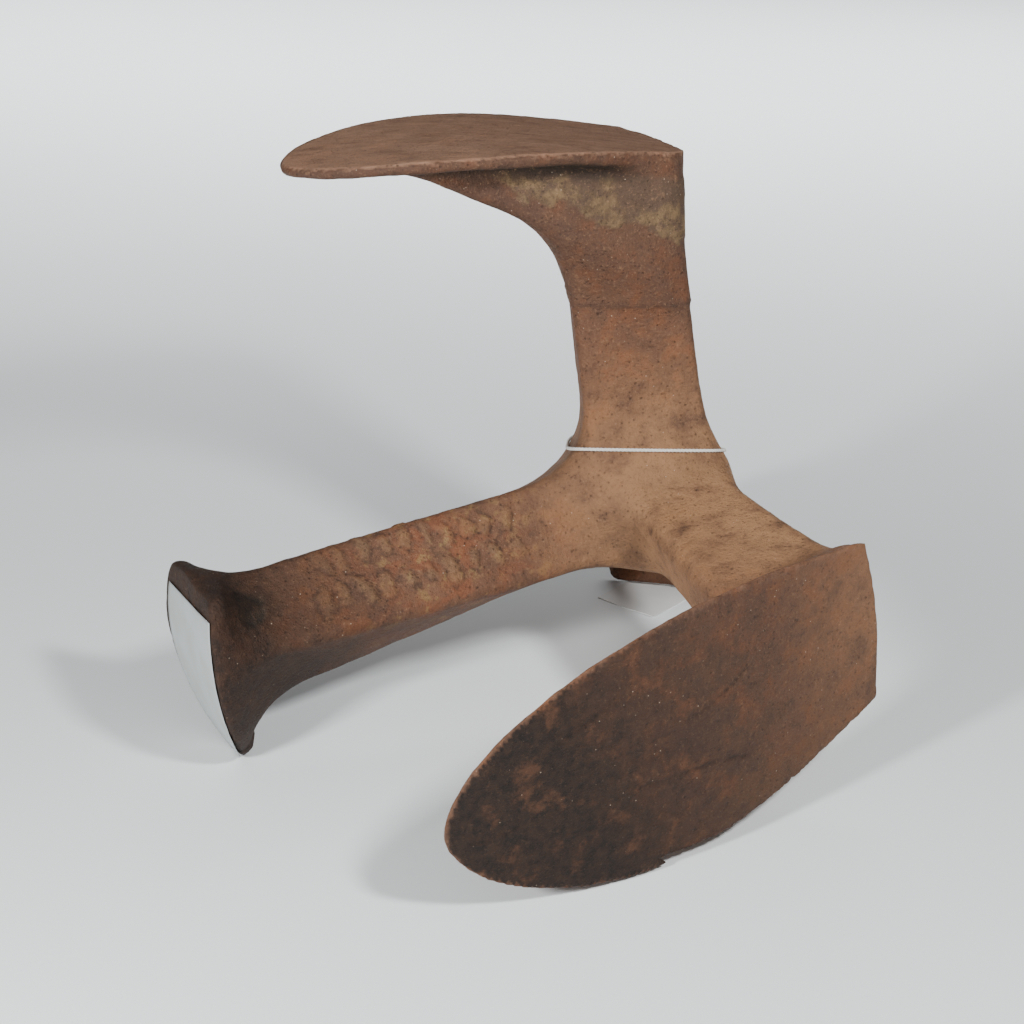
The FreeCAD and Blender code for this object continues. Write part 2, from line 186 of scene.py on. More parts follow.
def foot_distance(foot, p):
    """Distance to one foot: its plate, its arm up to the hub, and the web under a sole."""
    q = local(foot, p)
    x, y, z = q[:, 0], q[:, 1], q[:, 2]
    depth = z - face_height(foot, x)
    share = np.clip(x / foot["length"], 0, 1)
    rim = foot["rim"][0] + (foot["rim"][1] - foot["rim"][0]) * share
    across = np.clip(1 - (2 * y / foot["width"] / foot["heel"]) ** 2, 0, 1)
    heel_round = foot.get("heel_round", 0.0) * across * np.clip(1 - x / HEEL_ROUND_REACH, 0, 1)
    outline = read_grid(foot["grid"], x + heel_round, y)
    flare = foot["flare"]
    back = (flare * outline - depth - rim) / math.hypot(1, flare)
    side = outline - foot["bevel"] * np.clip(depth, -rim, 0)
    plate = round_common(side, np.maximum(depth, back), 2.0)
    (ax, ay), end, root = foot["arm"]
    hx, hy, hz = foot["hub"]
    s = np.clip(z / hz, -0.2, 1.3)
    inner = np.clip(s, 0, 1)
    half_x = end[0] + (root[0] - end[0]) * inner
    half_y = end[1] + (root[1] - end[1]) * inner
    turn = np.radians(foot["turn"][0] + (foot["turn"][1] - foot["turn"][0]) * inner)
    c, sn = np.cos(turn), np.sin(turn)
    u, v = x - ax - (hx - ax) * s, y - ay - (hy - ay) * s
    cu, cv = c * u + sn * v, -sn * u + c * v
    if foot["trap"]:
        half_x = half_x - foot["trap"] * np.clip((half_y - cv) / (2 * half_y), 0, 1)
    arm = bar_section(cu, cv, half_x, half_y, foot.get("corners", ARM_CORNER))
    arm = round_common(arm, np.maximum(depth + rim / 2, hz - z), 3.0)
    if foot["web"]:
        reach, start, drop, middle = foot["web"]
        z1 = face_height(foot, np.array(reach)) - rim.mean() * 0.6
        nx, nz = -drop - z1, reach - start
        n = math.hypot(nx, nz)
        nx, nz = nx / n, nz / n
        if nz > 0:
            nx, nz = -nx, -nz
        slope = (x - start) * nx + (z + drop) * nz
        thick = half_y * np.clip(1 - 0.6 * (x - start) / (reach - start), 0.3, 1)
        web = round_common(np.maximum(np.maximum(slope, depth + rim / 2), 5 - x),
                           np.abs(y - middle) - thick, 4.0)
        arm = blend_union(arm, web, foot["web_blend"])
    whole = np.maximum(blend_union(plate, arm, foot["plate_blend"]), depth)
    if "bite" in foot:
        (x0, y0), (x1, y1) = foot["bite"]
        beyond = ((x - x0) * (y1 - y0) - (y - y0) * (x1 - x0)) / math.hypot(x1 - x0, y1 - y0)
        notch = np.maximum(beyond, np.maximum((x - x1 + y - y1) * 0.7, (x0 - x - y + y0) * 0.7))
        whole = round_common(whole, -notch, 0.8)
    if "heel_slope" in foot:
        whole = round_common(whole, foot["heel_slope"] * depth - x - heel_round - 0.2, 1.0)
    return whole


def casting_distance(p):
    """Distance to the whole casting, below zero inside the iron."""
    total = None
    for foot in FEET.values():
        d = foot_distance(foot, p)
        total = d if total is None else blend_union(total, d, HUB_BLEND)
    return total


# ---- the casting's surface: a grid of distances, then a surface net, then relief
STEP = 1.38
BLOCK = 8
CHUNK = 250
NOISE_TABLE = 32
CORNER_EASE = 0.12
CORNER_REACH = 0.35
NEAR_BLOCKS = 1.2
EDGE_REACH = 0.1


def value_noise(p, scale, seed):
    """Smooth noise between -1 and 1, with lumps of about the given size."""
    table = np.random.default_rng(seed).uniform(-1, 1, (NOISE_TABLE,) * 3)
    q = p / scale
    cell = np.floor(q).astype(int)
    u = q - cell
    u = u * u * (3 - 2 * u)
    total = np.zeros(len(p))
    for corner in itertools.product((0, 1), repeat=3):
        weight = np.ones(len(p))
        for axis, side in enumerate(corner):
            weight *= u[:, axis] if side else 1 - u[:, axis]
        at = tuple((cell[:, axis] + side) % NOISE_TABLE for axis, side in enumerate(corner))
        total += weight * table[at]
    return total


def smooth_step(low, high, value):
    u = np.clip((value - low) / (high - low), 0, 1)
    return u * u * (3 - 2 * u)


def sample_distance(low, high):
    """Distances on a regular grid, worked out in full only near the surface."""
    blocks = np.ceil((high - low) / STEP / BLOCK).astype(int)
    centre = np.argwhere(np.ones(blocks, bool))
    rough = casting_distance(low + (centre + 0.5) * BLOCK * STEP)
    distance = np.repeat(np.repeat(np.repeat(rough.reshape(blocks), BLOCK, 0), BLOCK, 1), BLOCK, 2)
    inner = np.argwhere(np.ones((BLOCK,) * 3, bool))
    near = centre[np.abs(rough) < NEAR_BLOCKS * BLOCK * STEP]
    for start in range(0, len(near), CHUNK):
        index = (near[start:start + CHUNK, None] * BLOCK + inner).reshape(-1, 3)
        distance[tuple(index.T)] = casting_distance(low + index * STEP)
    return distance


def slope_of(p, reach):
    """The way in which the distance grows, from samples to both sides of each place."""
    steps = np.eye(3) * reach
    rises = [casting_distance(p + s) - casting_distance(p - s) for s in steps]
    return np.stack(rises, 1) / (2 * reach)


def unit_rows(vectors):
    return vectors / np.maximum(np.linalg.norm(vectors, axis=1), 1e-9)[:, None]


def surface_net(distance, low):
    """Quads where the distance changes sign, with corners pulled onto the surface's own edges."""
    inside = distance < 0
    size = np.array(distance.shape) - 1
    count = np.zeros(size, np.uint8)
    for a, b, c in itertools.product((0, 1), repeat=3):
        count += inside[a:a + size[0], b:b + size[1], c:c + size[2]]
    cells = np.argwhere((count > 0) & (count < 8))
    number = np.full(size, -1, np.int32)
    number[tuple(cells.T)] = np.arange(len(cells))
    matrix, vector = np.zeros((len(cells), 3, 3)), np.zeros((len(cells), 3))
    total, hits = np.zeros((len(cells), 3)), np.zeros(len(cells))
    quads = []
    for axis in range(3):
        unit, unit_u, unit_v = (np.eye(3, dtype=int)[(axis + k) % 3] for k in range(3))
        first = np.take(inside, np.arange(inside.shape[axis] - 1), axis)
        second = np.take(inside, np.arange(1, inside.shape[axis]), axis)
        edge = np.argwhere(first != second)
        d0, d1 = distance[tuple(edge.T)], distance[tuple((edge + unit).T)]
        point = low + STEP * (edge + (d0 / (d0 - d1))[:, None] * unit)
        normal = unit_rows(slope_of(point, EDGE_REACH))
        ring = [number[tuple((edge - d).T)] for d in (unit_u + unit_v, unit_v, 0 * unit_u, unit_u)]
        for cell in ring:
            np.add.at(matrix, cell, normal[:, :, None] * normal[:, None, :])
            np.add.at(vector, cell, normal * (normal * point).sum(1)[:, None])
            np.add.at(total, cell, point)
            np.add.at(hits, cell, 1)
        quad = np.stack(ring, 1)
        quads.append(np.where(first[tuple(edge.T)][:, None], quad, quad[:, ::-1]))
    middle = total / hits[:, None]
    matrix += CORNER_EASE * np.eye(3)
    points = np.linalg.solve(matrix, (vector + CORNER_EASE * middle)[:, :, None])[:, :, 0]
    least, most = low + STEP * (cells - CORNER_REACH), low + STEP * (cells + 1 + CORNER_REACH)
    return np.clip(points, least, most), np.concatenate(quads)


# ---- relief and colour zones, in millimetres, each in the frame of the foot that it is on
MARK_HEIGHT = 1.0
SEAM_DEPTH = 60.9
SEAM_RISE = 0.10
DIM_HEIGHTS = (118, 195)
MARK_ROWS = (
    {"start": 50.0, "end": 134.0, "x": 11.0, "rise": 0.105, "pitch": 8.4, "seed": 3},
    {"start": 44.0, "end": 131.0, "x": 22.0, "rise": 0.105, "pitch": 9.0, "seed": 8},
)
CRUST_EDGE = ((-14, -34.0), (-1, -33.6), (15, -29.5), (31, -28.1),
              (47, -22.7), (62, -21.7), (72, -14.5))
SCAR = (13.0, 15.0, -16.5)
BRIGHT_WAY = np.array((0.62, -0.78, 0.0))
CREASES = (((184, 4), (157, 4)), ((124, 7), (62, 24)),
           ((150, -22), (118, -30)), ((96, -6), (60, -14)))


def from_arm(foot, q):
    """How far places are from the middle of the foot's arm."""
    (ax, ay), hub = foot["arm"][0], foot["hub"]
    s = q[:, 2] / hub[2]
    return np.hypot(q[:, 0] - ax - (hub[0] - ax) * s, q[:, 1] - ay - (hub[1] - ay) * s)


def worn_marks(q):
    """Two rows of worn raised lumps along the heel foot's arm: heights, and hollows round them,
    also used as painted shade.
    """
    height, pit_and_shade = np.zeros(len(q)), np.zeros(len(q))
    front = smooth_step(-6, -1, q[:, 1])
    front *= 1 - smooth_step(27, 31, from_arm(FEET["large_heel"], q))
    front *= smooth_step(-0.9, -0.2, value_noise(q, 12.0, 24))
    ragged = 0.42 * value_noise(q, 3.1, 26) + 0.2 * value_noise(q, 1.5, 27)
    for row in MARK_ROWS:
        rng = np.random.default_rng(row["seed"])
        along = -q[:, 2]
        across = q[:, 0] - row["x"] - row["rise"] * (along - row["start"])
        for place in np.arange(row["start"], row["end"], row["pitch"]):
            tilt, wide, tall = rng.uniform(-0.5, 0.5), rng.uniform(1.7, 3.1), rng.uniform(2.9, 4.5)
            da, dc = along - place - rng.uniform(-1.0, 1.0), across - rng.uniform(-0.8, 0.8)
            u = da * math.cos(tilt) + dc * math.sin(tilt)
            v = dc * math.cos(tilt) - da * math.sin(tilt)
            lump = ((u / wide) ** 4 + (v / tall) ** 4) ** 0.25 + ragged
            strength = rng.uniform(0.5, 1.0)
            shape = 1 - smooth_step(0.78, 1.04, lump)
            pit_and_shade = np.maximum(pit_and_shade, np.exp(-((lump - 1.15) / 0.14) ** 2) * front)
            height = np.maximum(height, shape * front * strength)
    return height, pit_and_shade


def crust_patch(q, p):
    """Thick scale under the small sole, with a ragged lower edge, and the paler blotches in it."""
    x, z = np.array(CRUST_EDGE).T
    edge = np.interp(q[:, 0], x, z) + 2.6 * value_noise(p, 5.0, 21) + 1.2 * value_noise(p, 1.9, 22)
    front = smooth_step(8, 14, q[:, 1])
    front *= 1 - smooth_step(66, 78, q[:, 0])
    patch = smooth_step(-0.4, 0.8, q[:, 2] - edge) * (1 - smooth_step(-11, -8, q[:, 2])) * front
    low_part = 1 - smooth_step(4, 15, q[:, 2] - edge)
    return patch, patch * smooth_step(-0.25, 0.25, value_noise(p, 8.0, 23) + 0.9 * low_part - 0.55)


def under_lip_shade(q):
    """Painted shade in the hollow just below the small sole's rim, deepest over the rib."""
    below = face_height(FEET["small_sole"], q[:, 0]) - q[:, 2]
    band = smooth_step(3.5, 6.0, below) * (1 - smooth_step(8, 15, below))
    band = band * smooth_step(2, 8, q[:, 1]) * smooth_step(12, 34, q[:, 0])
    return band * (1 - smooth_step(104, 128, q[:, 0]))


def scar_patch(q):
    """A ground patch near the heel foot's plate, and the rim round it."""
    d = np.hypot((q[:, 0] - SCAR[0]) / 6.5, (q[:, 2] - SCAR[2]) / 7.5)
    front = smooth_step(4, 9, q[:, 1]) * (1 - smooth_step(30, 34, from_arm(FEET["large_heel"], q)))
    return (1 - smooth_step(0.8, 1.05, d)) * front, np.exp(-((d - 1.0) / 0.16) ** 2) * front


def creases(q):
    """Long shallow scratches in the large sole's face."""
    depth = np.zeros(len(q))
    for (x0, y0), (x1, y1) in CREASES:
        length = math.hypot(x1 - x0, y1 - y0)
        ux, uy = (x1 - x0) / length, (y1 - y0) / length
        along = (q[:, 0] - x0) * ux + (q[:, 1] - y0) * uy
        off = (q[:, 1] - y0) * ux - (q[:, 0] - x0) * uy + 1.2 * np.sin(along / 9.0)
        ends = smooth_step(0, 8, along) * (1 - smooth_step(length - 8, length, along))
        depth = np.maximum(depth, np.exp(-(off / 0.7) ** 2) * ends)
    return depth


def on_face(name, q, normal):
    """1 on the foot's working face, 0 elsewhere."""
    foot = FEET[name]
    return (smooth_step(0.55, 0.8, normal @ foot["axes"][2])
            * smooth_step(-2.5, -1.0, q[:, 2] - face_height(foot, q[:, 0])))


def dark_patina(heel, large, on_large):
    """Where the iron is black-brown: the large sole, more to its toe, and the heel arm's end."""
    sole = on_large * np.clip(0.14 + (large[:, 0] - 14) / 145 + 0.002 * large[:, 1], 0, 1)
    close = 1 - smooth_step(48, 60, from_arm(FEET["large_heel"], heel))
    low_side = 0.35 * smooth_step(-4, 14, heel[:, 0] - 30)
    fade = np.clip(1.0 - (-heel[:, 2] - 14) / 62 + low_side, 0, 1)
    end = close * fade * smooth_step(-150, -110, heel[:, 2])
    return np.maximum(sole, 0.90 * end)


def dress_casting(p, normal):
    """Moves the surface by its relief and returns the new places and the colour zones."""
    top, heel, large = (local(FEET[name], p) for name in ("small_sole", "large_heel", "large_sole"))
    marks, mark_pit_and_shade = worn_marks(heel)
    crust, pale_crust = crust_patch(top, p)
    scar, scar_rim = scar_patch(heel)
    on_large, on_top = on_face("large_sole", large, normal), on_face("small_sole", top, normal)
    crease = creases(large) * on_large
    line = top[:, 2] + SEAM_DEPTH + SEAM_RISE * (top[:, 0] - 6.9) + 0.35 * value_noise(p, 6.0, 31)
    near_line = (1 - smooth_step(24, 30, np.abs(top[:, 2] + SEAM_DEPTH))) * (p[:, 2] > 100)
    seam = np.exp(-(line / 0.8) ** 2) * near_line
    step_up = smooth_step(-1.0, 1.0, line) * near_line * (1 - smooth_step(4, 22, line))
    lumps = (0.30 * value_noise(p, 17.0, 1) + 0.15 * value_noise(p, 6.0, 2)
             + 0.10 * value_noise(p, 2.7, 3))
    relief = (lumps * (1 - 0.6 * np.maximum(on_large, on_top)) + MARK_HEIGHT * marks
              - 0.25 * mark_pit_and_shade + 0.4 * crust + 0.5 * seam + 0.4 * step_up
              + 0.5 * scar_rim - 0.5 * scar - 0.35 * crease)
    wear = smooth_step(0.5, 1.5, casting_distance(p - 2.4 * normal) + 2.4)
    hollow = smooth_step(0.2, 1.6, 3.0 - casting_distance(p + 3.0 * normal))
    along_arm = np.clip((p - HUB) @ BRIGHT_WAY, 0, 75)[:, None] * BRIGHT_WAY
    bright = np.exp(-((np.linalg.norm(p - HUB - along_arm, axis=1) - 18) / 34.0).clip(0) ** 2)
    dim = smooth_step(*DIM_HEIGHTS, p[:, 2]) * (1 - on_top)
    ochre = np.clip(1 - np.abs(-heel[:, 2] - 95) / 60, 0, 1)
    ochre *= 1 - smooth_step(27, 31, from_arm(FEET["large_heel"], heel))
    orange = np.exp(-((large[:, 0] - 52) / 34) ** 2) * smooth_step(24, 44, large[:, 1]) * on_large
    full = np.ones(len(p))
    zones = {
        "patches": (crust, marks, scar), "edges": (wear, hollow, seam),
        "places": (bright, dark_patina(heel, large, on_large), on_top),
        "streaks": (ochre, crease, scar_rim), "tints": (orange, on_large, pale_crust),
        "shades": (mark_pit_and_shade, dim, under_lip_shade(top)),
    }
    layers = {name: np.stack((*z, full), 1) for name, z in zones.items()}
    return p + normal * relief[:, None], layers


def mesh_object(name, points, faces, smooth=True):
    """A mesh object from points in millimetres."""
    mesh = bpy.data.meshes.new(name)
    mesh.from_pydata((np.asarray(points) * MM).tolist(), [], [list(map(int, f)) for f in faces])
    mesh.validate()
    mesh.update()
    if smooth:
        mesh.shade_smooth()
    piece = bpy.data.objects.new(name, mesh)
    bpy.context.scene.collection.objects.link(piece)
    return piece


GRID_BORDER = 12.0
NORMAL_REACH = 0.8
FLOOR_GAP = 0.02


def build_casting():
    """The iron last as one mesh, with its colour zones as vertex colours."""
    for foot in FEET.values():
        foot["axes"] = foot_axes(foot)
        foot["grid"] = outline_grid(foot)
        foot["hub"] = foot["axes"] @ (HUB - np.array(foot["edge"]))
    low, high = (np.array(c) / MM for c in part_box("last_casting"))
    low, high = low - GRID_BORDER, high + GRID_BORDER
    points, quads = surface_net(sample_distance(low, high), low)
    points, zones = dress_casting(points, unit_rows(slope_of(points, NORMAL_REACH)))
    points[:, 2] = np.maximum(points[:, 2], FLOOR_GAP)
    piece = mesh_object("iron_last", points, quads)
    for name, values in zones.items():
        layer = piece.data.color_attributes.new(name, "FLOAT_COLOR", "POINT")
        layer.data.foreach_set("color", values.astype(np.float32).ravel())
    return piece


# ---- label, string and tag, in millimetres
LABEL_START = 7.4
LABEL_MARGIN = 1.3
LABEL_ROWS = 44
LABEL_COLUMNS = 25
LABEL_THICKNESS = 0.2
FAR_EDGE = ((0, 0.35, 0.6, 0.85, 1), (-6.2, -5.2, -3.0, 0.0, 0.4))


def label_outline(foot):
    """The paper's outline in the heel's frame: a straight upper edge, then round the heel."""
    x = np.linspace(LABEL_START, foot["length"] - LABEL_MARGIN, LABEL_ROWS)
    share = np.clip(x / foot["length"], 0, 1)
    near = half_widths(foot, share) - LABEL_MARGIN
    far = half_widths(foot, share) + np.interp(share, *FAR_EDGE)
    return x, -far, near


def build_label():
    """The paper label: a slightly creased sheet just off the heel's face."""
    foot = FEET["large_heel"]
    x, far, near = label_outline(foot)
    across = np.linspace(0, 1, LABEL_COLUMNS)
    grid = []
    for i, at in enumerate(x):
        y = far[i] + (near[i] - far[i]) * across
        grid.append(np.stack((np.full_like(y, at), y, np.zeros_like(y)), 1))
    q = np.concatenate(grid)
    lift = 0.42 + 0.18 * value_noise(q, 14.0, 41) + 0.06 * value_noise(q, 4.0, 42)
    half = half_widths(foot, np.clip(q[:, 0] / foot["length"], 0, 1))
    overhang = np.clip(-q[:, 1] - half + 1.5, 0, 3)
    q[:, 2] = face_height(foot, q[:, 0]) + lift + 0.12 * overhang
    p = q @ foot["axes"] + np.array(foot["edge"])
    starts = [i * LABEL_COLUMNS + j
              for i in range(LABEL_ROWS - 1) for j in range(LABEL_COLUMNS - 1)]
    faces = [(a, a + LABEL_COLUMNS, a + LABEL_COLUMNS + 1, a + 1) for a in starts]
    piece = mesh_object("paper_label", p, faces)
    solid = piece.modifiers.new("thickness", "SOLIDIFY")
    solid.thickness = LABEL_THICKNESS * MM
    solid.offset = 1
    return piece


STRING_RADIUS = 0.7
PLY_COUNT = 3
PLY_RADIUS = 0.4
PLY_PITCH = 4.6
PLY_SIDES = 8
PLY_STEP = 0.55
KNOT_STEP = 0.4
KNOT_AT = (66.1, 81.4)
ARM_KNOT = (0.72, 1.1)   # size, and lean in radians
TAG_KNOT = (0.6, 0.2)
TAG_KNOT_LIFT = 1.2
TAIL_ROUTE = ((66.1, 81.4, 89.8), (66.2, 81.6, 84.0), (72.1, 88.8, 74.0), (78.9, 92.0, 57.0),
              (82.5, 93.8, 37.0), (84.3, 96.8, 19.0), (86.3, 100.8, 7.0), (90.1, 107.4, 1.8),
              (92.6, 116.4, 1.2), (90.1, 125.4, 1.3), (82.6, 130.0, 1.5), (75.6, 128.4, 1.6))
LOOP_CENTRE = (50.0, 57.0, 91.8)
LOOP_RISE = 0.42
LOOP_POINTS = 240
LOOP_SEARCHES = 24
LOOP_REACH = (4.0, 60.0)
KNOT_POINTS = 90


def along_path(points, spacing):
    """The path resampled at even steps, with its direction at each."""
    points = np.asarray(points, float)
    run = np.concatenate(((0,), np.cumsum(np.linalg.norm(np.diff(points, axis=0), axis=1))))
    at = np.linspace(0, run[-1], max(3, int(run[-1] / spacing) + 1))
    even = np.stack([np.interp(at, run, points[:, k]) for k in range(3)], 1)
    heading = np.gradient(even, axis=0)
    return even, heading / np.linalg.norm(heading, axis=1)[:, None], at


def side_vectors(heading):
    """A pair of vectors square to the path, carried along it without twist."""
    side = np.cross(heading[0], (0.3, 0.5, 0.81))
    side /= np.linalg.norm(side)
    sides = []
    for h in heading:
        side = side - h * side.dot(h)
        side /= np.linalg.norm(side)
        sides.append(side)
    sides = np.array(sides)
    return sides, np.cross(heading, sides)


def twisted_string(name, path, spacing=PLY_STEP):
    """Plies twisted round the path, each a round tube with closed ends."""
    ring = PLY_SIDES
    even, heading, at = along_path(path, spacing)
    sides, ups = side_vectors(heading)
    offset = STRING_RADIUS - PLY_RADIUS
    vertices, faces = [], []
    for ply in range(PLY_COUNT):
        phase = 2 * np.pi * (at / PLY_PITCH + ply / PLY_COUNT)
        centre = even + offset * (np.cos(phase)[:, None] * sides + np.sin(phase)[:, None] * ups)
        fuzz = 1 + 0.05 * value_noise(centre, 1.3, 50 + ply)
        base = len(vertices)
        for k in range(len(even)):
            for j in range(ring):
                angle = 2 * np.pi * j / ring
                vertices.append(centre[k] + PLY_RADIUS * fuzz[k]
                                * (math.cos(angle) * sides[k] + math.sin(angle) * ups[k]))
        for k in range(len(even) - 1):
            for j in range(ring):
                a, b = base + k * ring + j, base + k * ring + (j + 1) % ring
                faces.append((a, b, b + ring, a + ring))
        faces.append(tuple(base + j for j in reversed(range(ring))))
        faces.append(tuple(base + (len(even) - 1) * ring + j for j in range(ring)))
    return mesh_object(name, vertices, faces)


def hull(points):
    """Convex outline of points in a plane, counter-clockwise."""
    def turns_left(a, b, c):
        return np.cross(np.subtract(b, a), np.subtract(c, a)) > 0

    points = sorted(map(tuple, points))
    sides = []
    for ordered in (points, points[::-1]):
        chain = []
        for p in ordered:
            while len(chain) > 1 and not turns_left(chain[-2], chain[-1], p):
                chain.pop()
            chain.append(p)
        sides += chain[:-1]
    return np.array(sides)


def loop_path():
    """Where a tight string lies round the upper arm: straight over hollows, round the corners."""
    angle = np.linspace(0, 2 * np.pi, LOOP_POINTS, endpoint=False)
    front = (np.sqrt(np.sin(angle) ** 2 + 0.05) - np.sin(angle)) / 2
    way = np.stack((np.cos(angle), np.sin(angle), LOOP_RISE * front), 1)
    near, far = (np.full(len(angle), reach) for reach in LOOP_REACH)
    for _ in range(LOOP_SEARCHES):
        middle = (near + far) / 2
        outside = casting_distance(np.array(LOOP_CENTRE) + way * middle[:, None]) > STRING_RADIUS
        near, far = np.where(outside, near, middle), np.where(outside, middle, far)
    round_arm = hull(np.stack((np.cos(angle) * far, np.sin(angle) * far), 1))
    knot = np.array(KNOT_AT) - LOOP_CENTRE[:2]
    turn = np.arctan2(round_arm[:, 1], round_arm[:, 0]) - math.atan2(knot[1], knot[0])
    round_arm = round_arm[np.argsort(turn % (2 * np.pi))]
    at = np.arctan2(round_arm[:, 1], round_arm[:, 0]) % (2 * np.pi)
    rise = np.interp(at, angle, LOOP_RISE * front * far)
    points = np.stack((round_arm[:, 0], round_arm[:, 1], rise), 1) + LOOP_CENTRE
    join = knot / np.linalg.norm(knot) * 1.5
    meet = points[0] * 0.5 + points[-1] * 0.5 + (join[0], join[1], 0)
    return np.concatenate(((meet,), points, (meet,)))


def trefoil(centre, size, lean):
    """The path of a small overhand knot."""
    t = np.linspace(0, 2 * np.pi, KNOT_POINTS)
    x, y = np.sin(t) + 2 * np.sin(2 * t), np.cos(t) - 2 * np.cos(2 * t)
    shape = np.stack((x, y, -1.3 * np.sin(3 * t)), 1)
    turn = np.array(Matrix.Rotation(lean, 3, "X") @ Matrix.Rotation(0.4, 3, "Z"))
    return shape @ turn.T * size + centre


def smooth_route(route):
    """Points read from a NURBS spline with the route as its control points."""
    curve = bpy.data.curves.new("route", "CURVE")
    curve.dimensions = "3D"
    spline = curve.splines.new("NURBS")
    spline.points.add(len(route) - 1)
    for point, at in zip(spline.points, route):
        point.co = (*(c * MM for c in at), 1)
    spline.order_u = 3
    spline.use_endpoint_u = True
    spline.resolution_u = 12
    holder = bpy.data.objects.new("route", curve)
    line = bpy.data.meshes.new_from_object(holder)
    points = np.array([v.co[:] for v in line.vertices]) / MM
    bpy.data.objects.remove(holder)
    bpy.data.curves.remove(curve)
    bpy.data.meshes.remove(line)
    return points


def build_string():
    """The loop, its knot, the tail and the knot at the tag, and the tail's own line."""
    loop = loop_path()
    arm_loop = twisted_string("string_round_arm", loop)
    arm_knot = twisted_string("arm_knot", trefoil(loop[0], *ARM_KNOT), KNOT_STEP)
    path = smooth_route(TAIL_ROUTE)
    tail = twisted_string("hanging_string", path)
    at_tag = path[-1] + (0, 0, TAG_KNOT_LIFT)
    tag_knot = twisted_string("tag_knot", trefoil(at_tag, *TAG_KNOT), KNOT_STEP)
    return (arm_loop, arm_knot, tail, tag_knot), path


TAG_LENGTH, TAG_WIDTH, TAG_THICKNESS = 48.0, 30.0, 0.35
TAG_CLIP, TAG_HOLE, TAG_HOLE_INSET = 6.0, 2.0, 6.5
TAG_TURN_DEG = 50.0
TAG_CELLS = (48, 30)
TAG_CURL = 0.9


def build_tag():
    """A blank card with two clipped corners and a hole, a little curled."""
    low = np.array(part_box("hang_tag")[0]) / MM
    length, width = TAG_LENGTH, TAG_WIDTH
    along, across = TAG_CELLS
    azimuth = math.radians(TAG_TURN_DEG)
    corner = np.array((low[0] + width * math.sin(azimuth), low[1], 0))
    ex = np.array((math.cos(azimuth), math.sin(azimuth), 0))
    ey = np.array((-math.sin(azimuth), math.cos(azimuth), 0))
    hole_at = np.array((length - TAG_HOLE_INSET, width / 2))
    cells = itertools.product(range(along + 1), range(across + 1))
    q = np.array([(length * i / along, width * j / across) for i, j in cells])
    narrowing = 1 - np.clip(q[:, 0] - (length - TAG_CLIP), 0, TAG_CLIP) / (width / 2)
    q[:, 1] = width / 2 + (q[:, 1] - width / 2) * narrowing
    away = q - hole_at
    gap = np.linalg.norm(away, axis=1)
    push = gap < TAG_HOLE
    q[push] = hole_at + away[push] / np.maximum(gap[push], 1e-3)[:, None] * TAG_HOLE
    end, side = 1 - q[:, 0] / length, 1 - q[:, 1] / width
    curl = TAG_CURL * smooth_step(0.55, 1.0, end) ** 2 * smooth_step(0.4, 1, side)
    p = corner + q[:, :1] * ex + q[:, 1:] * ey + np.stack((0 * curl, 0 * curl, FLOOR_GAP + curl), 1)
    rows = across + 1
    faces = []
    for i in range(along):
        for j in range(across):
            a, b = i * rows + j, (i + 1) * rows + j
            if push[[a, a + 1, b, b + 1]].sum() < 2:
                faces.append((a, b, b + 1, a + 1))
    used, faces = np.unique(faces, return_inverse=True)
    piece = mesh_object("card_tag", p[used], faces.reshape(-1, 4), smooth=False)
    solid = piece.modifiers.new("thickness", "SOLIDIFY")
    solid.thickness = TAG_THICKNESS * MM
    solid.offset = 1
    return piece


